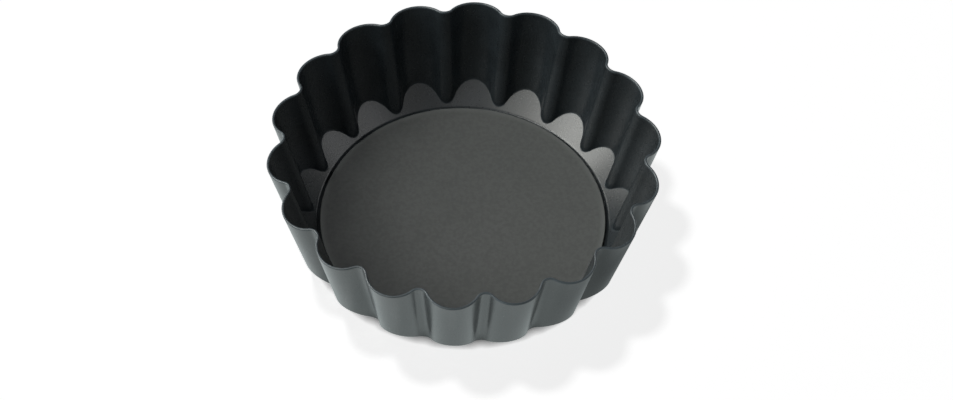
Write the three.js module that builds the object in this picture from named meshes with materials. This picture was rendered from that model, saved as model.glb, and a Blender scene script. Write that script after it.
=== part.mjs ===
// Deep fluted cake pan with a loose bottom. Two pressed and coated sheet-steel pieces: a fluted ring that
// is open below, and a flat disc that lies on the ring's inward flange and is pushed up to free the bake.
// Millimetres, +Z up. The origin is on the table under the pan's centre, and a flute crest points along +X.
import * as THREE from "three";

// Ring: overall sizes, measured outside.
const rimRadius = 50; // flute crests at the rim
const height = 29.7; // table to rim, at the grooves
const rimDip = 1.1; // the drawn rim lies this much lower at the crests
const ringSheet = 0.6; // coated sheet, also the flange under the loose bottom

// Flutes: wide crests joined by narrow grooves, all tangent arcs.
const fluteCount = 18;
const footDepth = 3.5; // crest to groove, at the top of the bevel
const rimDepth = 4.3; // crest to groove, at the rim
const grooveRadius = 2; // outside arc at the bottom of a groove

// Foot: a bevel cuts the flutes off into petals and runs down to the flange.
const bevelAngle = THREE.MathUtils.degToRad(40.7); // above the table
const bevelHeight = 5.2; // table to where a crest leaves the bevel
const shoulderBend = 0.8; // inside bend between wall and bevel
const footBend = 0.9; // inside bend between bevel and flange

// Loose bottom and its seat.
const baseRadius = 36.6;
const baseSheet = 0.8;
const baseEdge = 0.2; // rounding of the disc's rim
const baseClearance = 0.9; // disc to the foot of the bevel
const seatWidth = 4.5; // flange that the disc lies on

// Facets.
const crestSteps = 6;
const grooveSteps = 4;
const bendSteps = 2;
const rimSteps = 4;
const baseEdgeSteps = 1;
const baseSegments = 90;

// The bevel as a cone of radius footRadius + z / slope, for either face of the sheet.
const bevelSlope = Math.tan(bevelAngle);
const innerFoot = baseRadius + baseClearance;
const outerFoot = innerFoot + ringSheet * Math.tan(bevelAngle / 2);
const bevelShift = ringSheet / Math.sin(bevelAngle);
const holeRadius = baseRadius - seatWidth;

// The wall flares in a straight line from the bevel to the rim, along every crest and every groove.
const crestFoot = outerFoot + bevelHeight / bevelSlope;
const crestHeight = height - rimDip;
const flare = (rimRadius - crestFoot) / (crestHeight - bevelHeight);
const deepening = (rimDepth - footDepth) / (crestHeight - bevelHeight);
const wallInset = ringSheet * Math.hypot(1, flare);

// Plan outline of the wall at a height, moved inwards by inset: a crest arc and a groove arc for each flute.
function fluteOutline(z, inset) {
  const crestRadius = crestFoot + (z - bevelHeight) * flare;
  const depth = footDepth + (z - bevelHeight) * deepening;
  const halfPitch = Math.PI / fluteCount;
  const grooveCentre = crestRadius - depth + grooveRadius;
  const across = grooveCentre * Math.cos(halfPitch);
  const crestArc =
    (crestRadius ** 2 + grooveCentre ** 2 - 2 * crestRadius * across - grooveRadius ** 2) /
    (2 * (crestRadius - across + grooveRadius));
  const crestCentre = crestRadius - crestArc;
  const crestTurn = Math.atan2(grooveCentre * Math.sin(halfPitch), across - crestCentre);
  const grooveTurn = crestTurn - halfPitch;
  const points = [];
  for (let flute = 0; flute < fluteCount; flute++) {
    const crest = 2 * halfPitch * flute;
    const groove = crest + halfPitch;
    const crestCurve = planArc(crestCentre, crest, crestArc - inset, crest, crestTurn);
    const grooveCurve = planArc(grooveCentre, groove, grooveRadius + inset, groove + Math.PI, -grooveTurn);
    points.push(...crestCurve.getPoints(crestSteps).slice(0, -1));
    points.push(...grooveCurve.getPoints(grooveSteps).slice(0, -1));
  }
  return points;
}

// An arc whose centre lies at a distance from the pan's axis along bearing. It bulges towards facing and runs
// from turn before that direction to turn after it, clockwise if turn is negative.
function planArc(distance, bearing, radius, facing, turn) {
  const x = distance * Math.cos(bearing);
  const y = distance * Math.sin(bearing);
  return new THREE.EllipseCurve(x, y, radius, radius, facing - turn, facing + turn, turn < 0);
}

// One straight line of the wall, from its point in the table's plane to its point in the rim's plane.
function wallLine(low, high) {
  const step = high.clone().sub(low).divideScalar(height);
  const at = (z) => new THREE.Vector3(low.x + step.x * z, low.y + step.y * z, z);
  // Where the line meets the bevel, a quadratic in z.
  const onBevel = (footRadius) => {
    const a = step.lengthSq() - bevelSlope ** -2;
    const b = low.dot(step) - footRadius / bevelSlope;
    const c = low.lengthSq() - footRadius ** 2;
    return at((-b - Math.sqrt(b * b - a * c)) / a);
  };
  return { at, onBevel, up: new THREE.Vector3(step.x, step.y, 1).normalize() };
}

// A rounded corner between two directions that lead away from it.
function bend(corner, before, after, radius) {
  const turn = Math.PI - before.angleTo(after);
  const reach = radius * Math.tan(turn / 2);
  const start = corner.clone().addScaledVector(before, reach);
  const end = corner.clone().addScaledVector(after, reach);
  return new THREE.QuadraticBezierCurve3(start, corner, end).getPoints(bendSteps);
}

// The rim's height at one station, by how far its outer line lies between crest and groove.
function rimHeight(outer) {
  const top = outer.at(crestHeight);
  const inFromCrest = (rimRadius - Math.hypot(top.x, top.y)) / rimDepth;
  return crestHeight + rimDip * inFromCrest;
}

// The rounded top of the sheet, from the outer face over to the inner one.
function rimEdge(outer, inner) {
  const edge = ringSheet / 2;
  const top = rimHeight(outer) - edge;
  const middle = outer.at(top).add(inner.at(top)).divideScalar(2);
  const reach = outer.at(top).sub(middle);
  const points = [];
  for (let step = 0; step <= rimSteps; step++) {
    const angle = (Math.PI * step) / rimSteps;
    const point = middle.clone().addScaledVector(reach, Math.cos(angle));
    point.z += edge * Math.sin(angle);
    points.push(point);
  }
  return points;
}

// The ring's closed section at one station: below the flange, up the outside, over the rim, down the inside.
function ringSection(outer, inner) {
  const outerShoulder = outer.onBevel(outerFoot);
  const innerShoulder = inner.onBevel(outerFoot - bevelShift);
  const out = new THREE.Vector3(outerShoulder.x, outerShoulder.y, 0).normalize();
  const inwards = out.clone().negate();
  const upBevel = out.clone().multiplyScalar(Math.cos(bevelAngle)).setZ(Math.sin(bevelAngle));
  const downBevel = upBevel.clone().negate();
  const ringPoint = (radius, z) => out.clone().multiplyScalar(radius).setZ(z);
  return [
    ringPoint(holeRadius, 0),
    ...bend(ringPoint(outerFoot, 0), inwards, upBevel, footBend + ringSheet),
    ...bend(outerShoulder, downBevel, outer.up, shoulderBend + ringSheet),
    ...rimEdge(outer, inner),
    ...bend(innerShoulder, inner.up, downBevel, shoulderBend),
    ...bend(ringPoint(innerFoot, ringSheet), upBevel, inwards, footBend),
    ringPoint(holeRadius, ringSheet),
  ];
}

// Skins a closed loop of closed sections.
function skin(sections) {
  const count = sections[0].length;
  const index = [];
  sections.forEach((section, station) => {
    const here = station * count;
    const next = ((station + 1) % sections.length) * count;
    section.forEach((point, k) => {
      const above = (k + 1) % count;
      index.push(here + k, next + k, next + above, here + k, next + above, here + above);
    });
  });
  const geometry = new THREE.BufferGeometry().setFromPoints(sections.flat());
  geometry.setIndex(index);
  geometry.computeVertexNormals();
  return geometry;
}

function makeRing() {
  const outerLow = fluteOutline(0, 0);
  const outerHigh = fluteOutline(height, 0);
  const innerLow = fluteOutline(0, wallInset);
  const innerHigh = fluteOutline(height, wallInset);
  const sections = outerLow.map((point, i) =>
    ringSection(wallLine(point, outerHigh[i]), wallLine(innerLow[i], innerHigh[i])),
  );
  const coating = new THREE.MeshStandardMaterial({ color: 0x5b6061, roughness: 0.45, metalness: 0.35 });
  const ring = new THREE.Mesh(skin(sections), coating);
  ring.name = "fluted_ring";
  return ring;
}

function makeBase() {
  const flat = baseRadius - baseEdge;
  const profile = new THREE.Path();
  profile.moveTo(0, 0);
  profile.lineTo(flat, 0);
  profile.absarc(flat, baseEdge, baseEdge, -Math.PI / 2, 0);
  profile.lineTo(baseRadius, baseSheet - baseEdge);
  profile.absarc(flat, baseSheet - baseEdge, baseEdge, 0, Math.PI / 2);
  profile.lineTo(0, baseSheet);
  const coating = new THREE.MeshStandardMaterial({ color: 0x4f504e, roughness: 0.6, metalness: 0.3 });
  const disc = new THREE.LatheGeometry(profile.getPoints(baseEdgeSteps), baseSegments);
  const base = new THREE.Mesh(disc, coating);
  base.name = "loose_base";
  base.rotation.x = Math.PI / 2;
  base.position.z = ringSheet;
  return base;
}

const pan = new THREE.Group();
pan.add(makeRing(), makeBase());
export default pan;
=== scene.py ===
import math

import bpy
from mathutils import Matrix, Vector


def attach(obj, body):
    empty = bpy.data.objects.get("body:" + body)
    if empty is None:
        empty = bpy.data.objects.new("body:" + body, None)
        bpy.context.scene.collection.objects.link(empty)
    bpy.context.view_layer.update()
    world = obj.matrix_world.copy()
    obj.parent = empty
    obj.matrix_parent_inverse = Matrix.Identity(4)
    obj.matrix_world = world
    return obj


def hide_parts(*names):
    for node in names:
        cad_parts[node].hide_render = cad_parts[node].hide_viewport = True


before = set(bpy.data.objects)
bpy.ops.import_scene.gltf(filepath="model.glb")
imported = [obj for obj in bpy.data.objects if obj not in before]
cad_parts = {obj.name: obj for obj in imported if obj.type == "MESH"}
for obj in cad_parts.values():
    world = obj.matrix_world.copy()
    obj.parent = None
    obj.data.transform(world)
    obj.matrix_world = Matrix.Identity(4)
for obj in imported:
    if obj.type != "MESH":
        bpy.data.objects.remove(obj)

scene = bpy.context.scene
scene.view_settings.view_transform = "Standard"
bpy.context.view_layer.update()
print("frame loaded:", ", ".join(sorted(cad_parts)))


# Shader maths: a Shade is one output socket, and Python's operators on it add Math nodes.
class Shade:
    def __init__(self, tree, socket=None):
        self.tree = tree
        self.socket = socket

    # any other node: settings first, then its sockets by identifier, as values or links
    def node(self, kind, settings=None, inputs=None, output=0):
        made = self.tree.nodes.new("ShaderNode" + kind)
        for name, value in (settings or {}).items():
            setattr(made, name, value)
        sockets = {socket.identifier: socket for socket in made.inputs}
        for name, value in (inputs or {}).items():
            if isinstance(value, Shade):
                self.tree.links.new(value.socket, sockets[name])
            else:
                sockets[name].default_value = value
        return Shade(self.tree, made.outputs[output] if made.outputs else None)

    # another output of the same node
    def output(self, name):
        return Shade(self.tree, self.socket.node.outputs[name])

    def math(self, operation, first, second=0.0):
        return self.node("Math", {"operation": operation}, {"Value": first, "Value_001": second})

    def __add__(self, other):
        return self.math("ADD", self, other)

    def __radd__(self, other):
        return self.math("ADD", other, self)

    def __sub__(self, other):
        return self.math("SUBTRACT", self, other)

    def __rsub__(self, other):
        return self.math("SUBTRACT", other, self)

    def __mul__(self, other):
        return self.math("MULTIPLY", self, other)

    def __rmul__(self, other):
        return self.math("MULTIPLY", other, self)

    # a smooth step from 0 to 1 between two values
    def between(self, low, high):
        settings = {"interpolation_type": "SMOOTHSTEP"}
        return self.node("MapRange", settings, {"Value": self, "From Min": low, "From Max": high})

    # a colour on the way from one to the other
    def blend(self, first, second):
        colours = {"Factor_Float": self, "A_Color": first, "B_Color": second}
        return self.node("Mix", {"data_type": "RGBA"}, colours, output=2)  # its colour output


def grey(level, tint=(1, 1, 1)):
    return (level * tint[0], level * tint[1], level * tint[2], 1)


def newFinish(name):
    material = bpy.data.materials.new(name)
    material.use_nodes = True
    material.node_tree.nodes.clear()
    return material, Shade(material.node_tree)


# A point round the pan's axis.
def polar(radius, angle, z=0.0):
    return Vector((radius * math.cos(angle), radius * math.sin(angle), z))


# The way out from the pan: azimuth 0 is its front, along -Y, and azimuth grows towards +X.
def direction(azimuth, elevation):
    return Vector((math.sin(azimuth) * math.cos(elevation), -math.cos(azimuth) * math.cos(elevation),
                   math.sin(elevation)))


# Non-stick coating baked on steel: a satin skin with a fine pebble, uneven in tone, thinner along edges;
# the ring's lighter rim is partly a painted highlight.
ringCoat = dict(
    name="ringCoating",
    dark=0.014, light=0.022, tint=(0.77, 1.00, 1.14),  # albedo of the thick and thin places
    edge=0.060, edgeSatin=0.14,  # albedo of worn thin edges, also a painted highlight on the ring's rim; how much duller they are
    satin=0.28, satinSpread=0.04,  # roughness, and how far the pebble moves it
    specular=0.62, sheen=(0.98, 1.0, 0.985),  # level and tint of its shine
    pebble=0.00045, pebbleDepth=0.000003,  # size and height of the pebble in metres
    mottle=0.009, mottleShare=0.72)  # size of the uneven patches, and their share of the tone

discCoat = dict(
    name="discCoating",
    dark=0.060, light=0.077, tint=(0.95, 1.025, 0.995),
    edge=0.11, edgeSatin=0.0,
    satin=0.52, satinSpread=0.08,
    specular=0.68, sheen=(1.0, 1.0, 1.0),
    pebble=0.0009, pebbleDepth=0.000012,
    mottle=0.012, mottleShare=0.15)

# Both coatings: detail of the two noises, the stretch of each that shows, and how patchy worn edges are.
coatGrain = dict(
    pebbleDetail=2.0, pebbleSpan=(0.3, 0.7), pebbleMiddle=0.5,
    mottleDetail=4.0, mottleSpan=(0.35, 0.65), edgePatches=0.4)


def coating(coat):
    material, shade = newFinish(coat["name"])
    place = shade.node("TexCoord").output("Object")
    pebbleInputs = {"Vector": place, "Scale": 1 / coat["pebble"], "Detail": coatGrain["pebbleDetail"]}
    mottleInputs = {"Vector": place, "Scale": 1 / coat["mottle"], "Detail": coatGrain["mottleDetail"]}
    pebble = shade.node("TexNoise", {}, pebbleInputs)
    patches = shade.node("TexNoise", {}, mottleInputs).between(*coatGrain["mottleSpan"])
    thin = shade.node("Attribute", {"attribute_name": "wear"}).output("Fac")

    share = coat["mottleShare"]
    dapple = share * patches + (1 - share) * pebble.between(*coatGrain["pebbleSpan"])
    tone = dapple.blend(grey(coat["dark"], coat["tint"]), grey(coat["light"], coat["tint"]))
    patchy = coatGrain["edgePatches"]
    # lighter along worn edges: real wear, and on the ring's rim also a painted highlight
    worn = thin * (1 - patchy + patchy * patches)
    colour = worn.blend(tone, grey(coat["edge"], coat["tint"]))
    grain = pebble - coatGrain["pebbleMiddle"]
    satin = coat["satin"] + grain * coat["satinSpread"] + thin * coat["edgeSatin"]
    height = pebble * (1 - thin)
    bump = shade.node("Bump", {}, {"Strength": 1.0, "Distance": coat["pebbleDepth"], "Height": height})
    skin = shade.node("BsdfPrincipled", {}, {
        "Base Color": colour, "Roughness": satin, "Specular IOR Level": coat["specular"],
        "Specular Tint": (*coat["sheen"], 1), "Normal": bump})
    shade.node("OutputMaterial", {}, {"Surface": skin})
    return material


# Mesh from rows of points, each a closed loop round the pan with one value of wear.
# The last row joins the first, or both ends are capped.
def skinRows(name, rows, wear, closed):
    count = len(rows[0])
    points = [point for row in rows for point in row]
    faces = []
    for r in range(len(rows) if closed else len(rows) - 1):
        here = r * count
        above = ((r + 1) % len(rows)) * count
        for i in range(count):
            j = (i + 1) % count
            faces.append((here + i, here + j, above + j, above + i))
    if not closed:
        last = (len(rows) - 1) * count
        faces += [range(count - 1, -1, -1), range(last, last + count)]
    mesh = bpy.data.meshes.new(name)
    mesh.from_pydata(points, [], faces)
    mesh.shade_smooth()
    layer = mesh.attributes.new("wear", "FLOAT", "POINT")
    layer.data.foreach_set("value", [value for value in wear for i in range(count)])
    piece = bpy.data.objects.new(name, mesh)
    scene.collection.objects.link(piece)
    return piece


# Ring, in metres: the solid's driving sizes with many more steps, and grooves 0.3 mm deeper at the foot.
ring = dict(
    rimRadius=0.050, height=0.0297, rimDip=0.0011, sheet=0.0006,
    flutes=18, footDepth=0.0038, rimDepth=0.0043, grooveRadius=0.002,
    bevelAngle=math.radians(40.7), bevelHeight=0.0052, shoulderBend=0.0008, footBend=0.0009,
    seatWidth=0.0045,
    crestSteps=26, grooveSteps=16, bendSteps=8, rimSteps=10, wallRows=14, bevelRows=6, seatRows=3,
    footWear=0.35, outerWear=0.15, rimWearAndHighlight=1.0, innerWear=0.3)  # how thin the coating is on each bend; the rim's value also lays on a painted highlight

disc = dict(
    radius=0.0366, sheet=0.0008, edge=0.0002, clearance=0.0009,
    segments=256, edgeSteps=6, rows=24, edgeWear=1.0)

bevelSlope = math.tan(ring["bevelAngle"])
innerFoot = disc["radius"] + disc["clearance"]
outerFoot = innerFoot + ring["sheet"] * math.tan(ring["bevelAngle"] / 2)
innerCone = outerFoot - ring["sheet"] / math.sin(ring["bevelAngle"])
holeRadius = disc["radius"] - ring["seatWidth"]
crestFoot = outerFoot + ring["bevelHeight"] / bevelSlope
crestHeight = ring["height"] - ring["rimDip"]
flare = (ring["rimRadius"] - crestFoot) / (crestHeight - ring["bevelHeight"])
deepening = (ring["rimDepth"] - ring["footDepth"]) / (crestHeight - ring["bevelHeight"])
wallInset = ring["sheet"] * math.hypot(1, flare)


# Plan outline of the wall at a height, moved inwards: a crest arc and a groove arc for each flute.
def fluteOutline(z, inset):
    crestRadius = crestFoot + (z - ring["bevelHeight"]) * flare
    depth = ring["footDepth"] + (z - ring["bevelHeight"]) * deepening
    halfPitch = math.pi / ring["flutes"]
    grooveCentre = crestRadius - depth + ring["grooveRadius"]
    across = grooveCentre * math.cos(halfPitch)
    crestArc = crestRadius**2 + grooveCentre**2 - 2 * crestRadius * across - ring["grooveRadius"]**2
    crestArc /= 2 * (crestRadius - across + ring["grooveRadius"])
    crestCentre = crestRadius - crestArc
    crestTurn = math.atan2(grooveCentre * math.sin(halfPitch), across - crestCentre)
    grooveTurn = crestTurn - halfPitch
    points = []
    for flute in range(ring["flutes"]):
        crest = 2 * halfPitch * flute
        groove = crest + halfPitch
        for step in range(ring["crestSteps"]):
            angle = crest + crestTurn * (2 * step / ring["crestSteps"] - 1)
            points.append(polar(crestCentre, crest) + polar(crestArc - inset, angle))
        for step in range(ring["grooveSteps"]):
            angle = groove + math.pi + grooveTurn * (1 - 2 * step / ring["grooveSteps"])
            points.append(polar(grooveCentre, groove) + polar(ring["grooveRadius"] + inset, angle))
    return points


# The point of a wall line at a height, and where the line meets the bevel's cone, a quadratic in z.
def onWall(low, step, z):
    return low + step * z + Vector((0, 0, z))


def onBevel(low, step, footRadius):
    a = step.length_squared - bevelSlope**-2
    b = low.dot(step) - footRadius / bevelSlope
    c = low.length_squared - footRadius**2
    return onWall(low, step, (-b - math.sqrt(b * b - a * c)) / a)


# A rounded corner between two directions that lead away from it.
def bend(corner, before, after, radius):
    reach = radius * math.tan((math.pi - before.angle(after)) / 2)
    start = corner + before * reach
    end = corner + after * reach
    points = []
    for i in range(ring["bendSteps"] + 1):
        t = i / ring["bendSteps"]
        points.append(start * (1 - t)**2 + corner * (2 * t * (1 - t)) + end * t**2)
    return points


# Points strictly between two others, closer together near both ends.
def pointsBetween(first, last, count):
    points = []
    for i in range(1, count + 1):
        t = (1 - math.cos(math.pi * i / (count + 1))) / 2
        points.append(first.lerp(last, t))
    return points


# The rounded top of the sheet, from the outer face over to the inner one.
def rimEdge(outer, inner):
    middle = (outer + inner) / 2
    points = []
    for i in range(ring["rimSteps"] + 1):
        angle = math.pi * i / ring["rimSteps"]
        rise = Vector((0, 0, math.sin(angle) * ring["sheet"] / 2))
        points.append(middle + (outer - middle) * math.cos(angle) + rise)
    return points


# One section of the ring, with how worn each point's coating is: below the flange, up the outside,
# over the rim and down the inside.
def ringSection(outerLow, outerHigh, innerLow, innerHigh):
    outerStep = (outerHigh - outerLow) / ring["height"]
    innerStep = (innerHigh - innerLow) / ring["height"]
    outerUp = (outerStep + Vector((0, 0, 1))).normalized()
    innerUp = (innerStep + Vector((0, 0, 1))).normalized()
    outerShoulder = onBevel(outerLow, outerStep, outerFoot)
    innerShoulder = onBevel(innerLow, innerStep, innerCone)
    out = Vector((outerShoulder.x, outerShoulder.y, 0)).normalized()
    upBevel = out * math.cos(ring["bevelAngle"]) + Vector((0, 0, math.sin(ring["bevelAngle"])))
    lift = Vector((0, 0, ring["sheet"]))

    hole = out * holeRadius
    foot = bend(out * outerFoot, -out, upBevel, ring["footBend"] + ring["sheet"])
    outerBend = bend(outerShoulder, -upBevel, outerUp, ring["shoulderBend"] + ring["sheet"])
    crest = onWall(outerLow, outerStep, crestHeight)
    inFromCrest = (ring["rimRadius"] - math.hypot(crest.x, crest.y)) / ring["rimDepth"]
    top = crestHeight + ring["rimDip"] * inFromCrest - ring["sheet"] / 2
    rim = rimEdge(onWall(outerLow, outerStep, top), onWall(innerLow, innerStep, top))
    innerBend = bend(innerShoulder, innerUp, -upBevel, ring["shoulderBend"])
    seat = bend(out * innerFoot + lift, upBevel, -out, ring["footBend"])

    runs = [
        ([hole], 0.0),
        (pointsBetween(hole, foot[0], ring["seatRows"]), 0.0),
        (foot, ring["footWear"]),
        (pointsBetween(foot[-1], outerBend[0], ring["bevelRows"]), 0.0),
        (outerBend, ring["outerWear"]),
        (pointsBetween(outerBend[-1], rim[0], ring["wallRows"]), 0.0),
        # the rim: worn coating, and also a painted highlight
        (rim, ring["rimWearAndHighlight"]),
        (pointsBetween(rim[-1], innerBend[0], ring["wallRows"]), 0.0),
        (innerBend, ring["innerWear"]),
        (pointsBetween(innerBend[-1], seat[0], ring["bevelRows"]), 0.0),
        (seat, 0.0),
        (pointsBetween(seat[-1], hole + lift, ring["seatRows"]), 0.0),
        ([hole + lift], 0.0)]
    points = [point for run, amount in runs for point in run]
    wear = [amount for run, amount in runs for point in run]
    return points, wear


def makeRing():
    outlines = [fluteOutline(z, inset) for inset in (0, wallInset) for z in (0, ring["height"])]
    sections = [ringSection(*corners) for corners in zip(*outlines)]
    rows = list(zip(*[points for points, wear in sections]))
    sectionWear = sections[0][1]  # the same all round
    piece = skinRows("flutedRing", rows, sectionWear, closed=True)
    piece.data.materials.append(coating(ringCoat))
    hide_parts("fluted_ring")
    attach(piece, "ring")
    print("ring:", len(piece.data.vertices), "vertices")
    return piece


# Loose bottom: a flat blanked disc with a softened edge, which lies on the ring's flange.
def makeDisc():
    profile = []  # radius, height and wear of each row, from below the middle round to above it
    flat = disc["radius"] - disc["edge"]
    bottom = ring["sheet"]
    top = bottom + disc["sheet"]
    for i in range(1, disc["rows"]):
        profile.append((flat * i / disc["rows"], bottom, 0.0))
    for turn, z in ((-1, bottom + disc["edge"]), (0, top - disc["edge"])):
        for i in range(disc["edgeSteps"] + 1):
            angle = math.pi / 2 * (turn + i / disc["edgeSteps"])
            radius = flat + disc["edge"] * math.cos(angle)
            profile.append((radius, z + disc["edge"] * math.sin(angle), disc["edgeWear"]))
    for i in range(disc["rows"] - 1, 0, -1):
        profile.append((flat * i / disc["rows"], top, 0.0))
    angles = [2 * math.pi * i / disc["segments"] for i in range(disc["segments"])]
    rows = [[polar(radius, angle, z) for angle in angles] for radius, z, wear in profile]
    piece = skinRows("looseBottom", rows, [wear for radius, z, wear in profile], closed=False)
    piece.data.materials.append(coating(discCoat))
    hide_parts("loose_base")
    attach(piece, "base")
    print("loose bottom:", len(piece.data.vertices), "vertices")
    return piece


# Camera: where it stands round the pan's middle, and the point in the middle of the picture.
view = dict(
    azimuth=math.radians(-7.43), elevation=math.radians(51.43), distance=1.0867,
    aim=(0.00295, -0.00329, 0.01258), roll=math.radians(1.753), lens=161.57, sensor=36.0)


def makeCamera():
    data = bpy.data.cameras.new("camera")
    data.lens = view["lens"]
    data.sensor_width = view["sensor"]
    data.sensor_fit = "HORIZONTAL"
    camera = bpy.data.objects.new("camera", data)
    scene.collection.objects.link(camera)
    middle = Vector((0, 0, ring["height"] / 2))
    stand = middle + direction(view["azimuth"], view["elevation"]) * view["distance"]
    look = (stand - Vector(view["aim"])).to_track_quat("Z", "Y").to_matrix()
    turned = look @ Matrix.Rotation(view["roll"], 3, "Z")
    camera.matrix_world = Matrix.LocRotScale(stand, turned, None)
    scene.camera = camera
    print("camera:", view["distance"], "m from the pan")


# Floor: white paper, flat round the pan and turned up far from it. Seen directly or in a gloss it glows
# at white, and it still takes the pan's shadow.
floorLook = dict(
    radius=3.0, sweep=0.35, segments=96, sweepSteps=12,
    glow=0.848, shade=0.98,  # its own white, and the albedo that adds the key lamp's light to it
    paper=0.60,  # albedo with which it throws light back on the pan
    glossTint=(0.90, 1.0, 1.0),  # its tint in the pan's gloss
    # the pan's own shade on it, in the gloss: how far to the right, how far from the middle, how deep
    shadeSide=(0.008, 0.060), shadeReach=(0.051, 0.063), shadeDepth=0.85,
    contact=0.0022, contactSamples=4)  # how far from the foot the pan darkens it


def whitePaper():
    material, shade = newFinish("whitePaper")
    camera = shade.node("LightPath").output("Is Camera Ray")
    seen = camera + camera.output("Is Glossy Ray") + camera.output("Is Transmission Ray")
    tint = camera.blend(grey(1, floorLook["glossTint"]), grey(1))
    samples = {"samples": floorLook["contactSamples"]}
    clear = shade.node("AmbientOcclusion", samples, {"Distance": floorLook["contact"]}).output("AO")
    place = shade.node("TexCoord").output("Object")
    right = direction(view["azimuth"] + math.pi / 2, 0)
    sideways = {"Vector": place, "Vector_001": right}
    across = shade.node("VectorMath", {"operation": "DOT_PRODUCT"}, sideways).output("Value")
    away = shade.node("VectorMath", {"operation": "LENGTH"}, {"Vector": place}).output("Value")
    beside = across.between(*floorLook["shadeSide"]) * (1 - away.between(*floorLook["shadeReach"]))
    shadow = floorLook["shadeDepth"] * (1 - camera) * beside
    level = floorLook["glow"] * clear * (1 - shadow)
    glow = shade.node("Emission", {}, {"Color": level.blend(grey(0), tint), "Strength": 1.0})
    shaded = shade.node("BsdfDiffuse", {}, {"Color": grey(floorLook["shade"])})
    paper = shade.node("BsdfDiffuse", {}, {"Color": grey(floorLook["paper"])})
    bright = shade.node("AddShader", {}, {"Shader": glow, "Shader_001": shaded})
    surface = shade.node("MixShader", {}, {"Fac": seen, "Shader": paper, "Shader_001": bright})
    shade.node("OutputMaterial", {}, {"Surface": surface})
    return material


def makeFloor():
    count = floorLook["segments"]
    sweep = floorLook["sweep"]
    angles = [2 * math.pi * i / count for i in range(count)]
    points = []
    for row in range(floorLook["sweepSteps"] + 1):
        turn = math.pi / 2 * row / floorLook["sweepSteps"]
        radius = floorLook["radius"] + sweep * math.sin(turn)
        rise = sweep * (1 - math.cos(turn))
        points += [polar(radius, angle, rise) for angle in angles]
    faces = [range(count)]  # the flat part, then the sweep round it
    for start in range(0, len(points) - count, count):
        for i in range(count):
            j = (i + 1) % count
            faces.append((start + i, start + count + i, start + count + j, start + j))
    mesh = bpy.data.meshes.new("floor")
    mesh.from_pydata(points, [], faces)
    mesh.polygons.foreach_set("use_smooth", [False] + [True] * (len(faces) - 1))
    mesh.materials.append(whitePaper())
    floor = bpy.data.objects.new("floor", mesh)
    scene.collection.objects.link(floor)
    print("floor: flat to", floorLook["radius"], "m from the pan")


# The studio is dark: all light comes from the lamps and the floor.
def makeWorld():
    world = bpy.data.worlds.new("studio")
    world.use_nodes = True
    world.node_tree.nodes.clear()
    shade = Shade(world.node_tree)
    dark = shade.node("Background", {}, {"Color": grey(0), "Strength": 0.0})
    shade.node("OutputWorld", {}, {"Surface": dark})
    scene.world = world
    print("world: dark")


# Lamps: bearing is turned from the camera's side, positive to its right, and watts set the level.
# All but the key lamp light the pan alone, so that one clean shadow lies on the floor.
plain = (1, 1, 1)
warm = (1.0, 0.985, 0.955)
cool = (0.985, 0.98, 1.0)


def softBox(bearing, elevation, watts, tint, wide=0.7, tall=0.7, distance=1.8, panOnly=True):
    place = dict(bearing=bearing, elevation=elevation, distance=distance)
    return dict(place, wide=wide, tall=tall, watts=watts, tint=tint, panOnly=panOnly)


lamps = dict(
    key=softBox(-120, 71, 15.0, plain, wide=0.3, tall=0.3, distance=3.0, panOnly=False),
    leftHigh=softBox(-90, 50, 13.7, warm),
    leftMiddle=softBox(-90, 36, 6.8, warm),
    leftLow=softBox(-90, 22, 5.7, warm),
    leftBack=softBox(-120, 22, 9.3, warm),
    leftFront=softBox(-64, 36, 8.4, warm),
    frontLeft=softBox(-38, 44, 3.3, warm, tall=0.4),
    front=softBox(0, 50, 1.0, cool, tall=0.35),
    frontRight=softBox(37, 44, 0.7, cool, tall=0.35),
    rightFront=softBox(65, 36, 1.8, cool, tall=0.35),
    right=softBox(92, 30, 1.6, cool, tall=0.35),
    rightBack=softBox(118, 32, 2.0, cool, tall=0.4))


def makeLamps(pieces):
    pan = bpy.data.collections.new("panAlone")
    for piece in pieces:
        pan.objects.link(piece)
    for name, lamp in lamps.items():
        light = bpy.data.lights.new(name, "AREA")
        light.shape = "RECTANGLE"
        light.size = lamp["wide"]
        light.size_y = lamp["tall"]
        light.energy = lamp["watts"]
        light.color = lamp["tint"]
        holder = bpy.data.objects.new(name, light)
        scene.collection.objects.link(holder)
        azimuth = view["azimuth"] + math.radians(lamp["bearing"])
        away = direction(azimuth, math.radians(lamp["elevation"]))
        holder.location = away * lamp["distance"]
        holder.rotation_euler = away.to_track_quat("Z", "Y").to_euler()
        if lamp["panOnly"]:
            holder.light_linking.receiver_collection = pan
    print("lamps:", ", ".join(lamps))


makeCamera()
pieces = [makeRing(), makeDisc()]
makeFloor()
makeWorld()
makeLamps(pieces)
